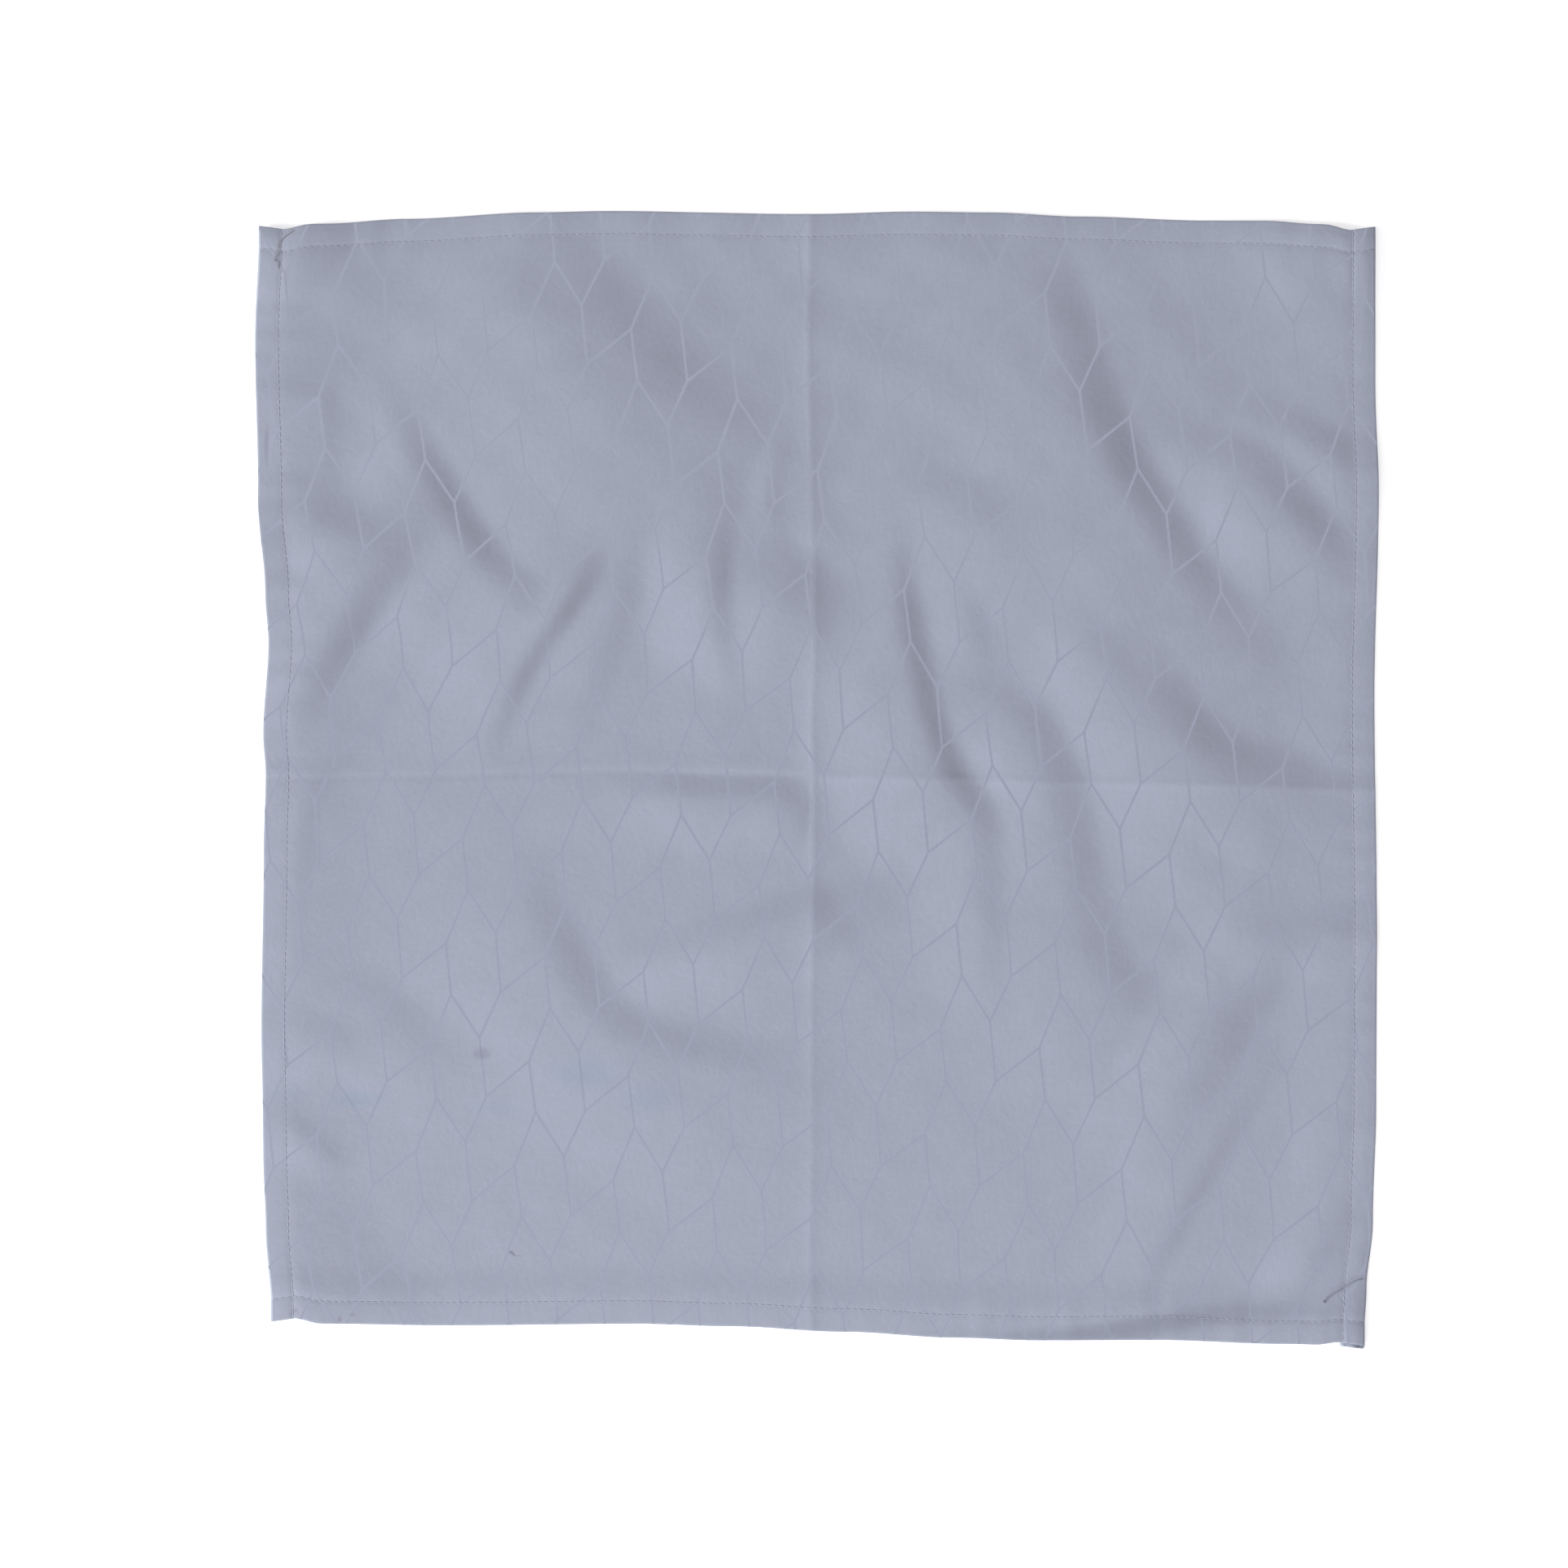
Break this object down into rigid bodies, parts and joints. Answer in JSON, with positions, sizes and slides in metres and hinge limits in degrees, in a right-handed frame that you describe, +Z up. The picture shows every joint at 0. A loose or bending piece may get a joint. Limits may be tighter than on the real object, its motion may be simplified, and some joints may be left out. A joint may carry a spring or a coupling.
{
  "type": "cloth napkin",
  "caption": "Square hemmed cloth napkin with a woven all-over line figure, laid out flat with press creases and soft wrinkles.",
  "frame": {"origin": "middle of the laid-out napkin's outline, on the table", "axes": "+Z up from the table, +Y towards the top edge, +X towards the right edge"},
  "size_m": [0.5032, 0.508, 0.0056],
  "materials": {
    "napkin_cloth": "satin damask weave, pale blue-grey",
    "label_tape": "smooth white ribbon",
    "sewing_thread": "matte polyester thread"
  },
  "bodies": {
    "root": {"napkin": "napkin_cloth", "care_label": "label_tape"}
  },
  "joints": []
}
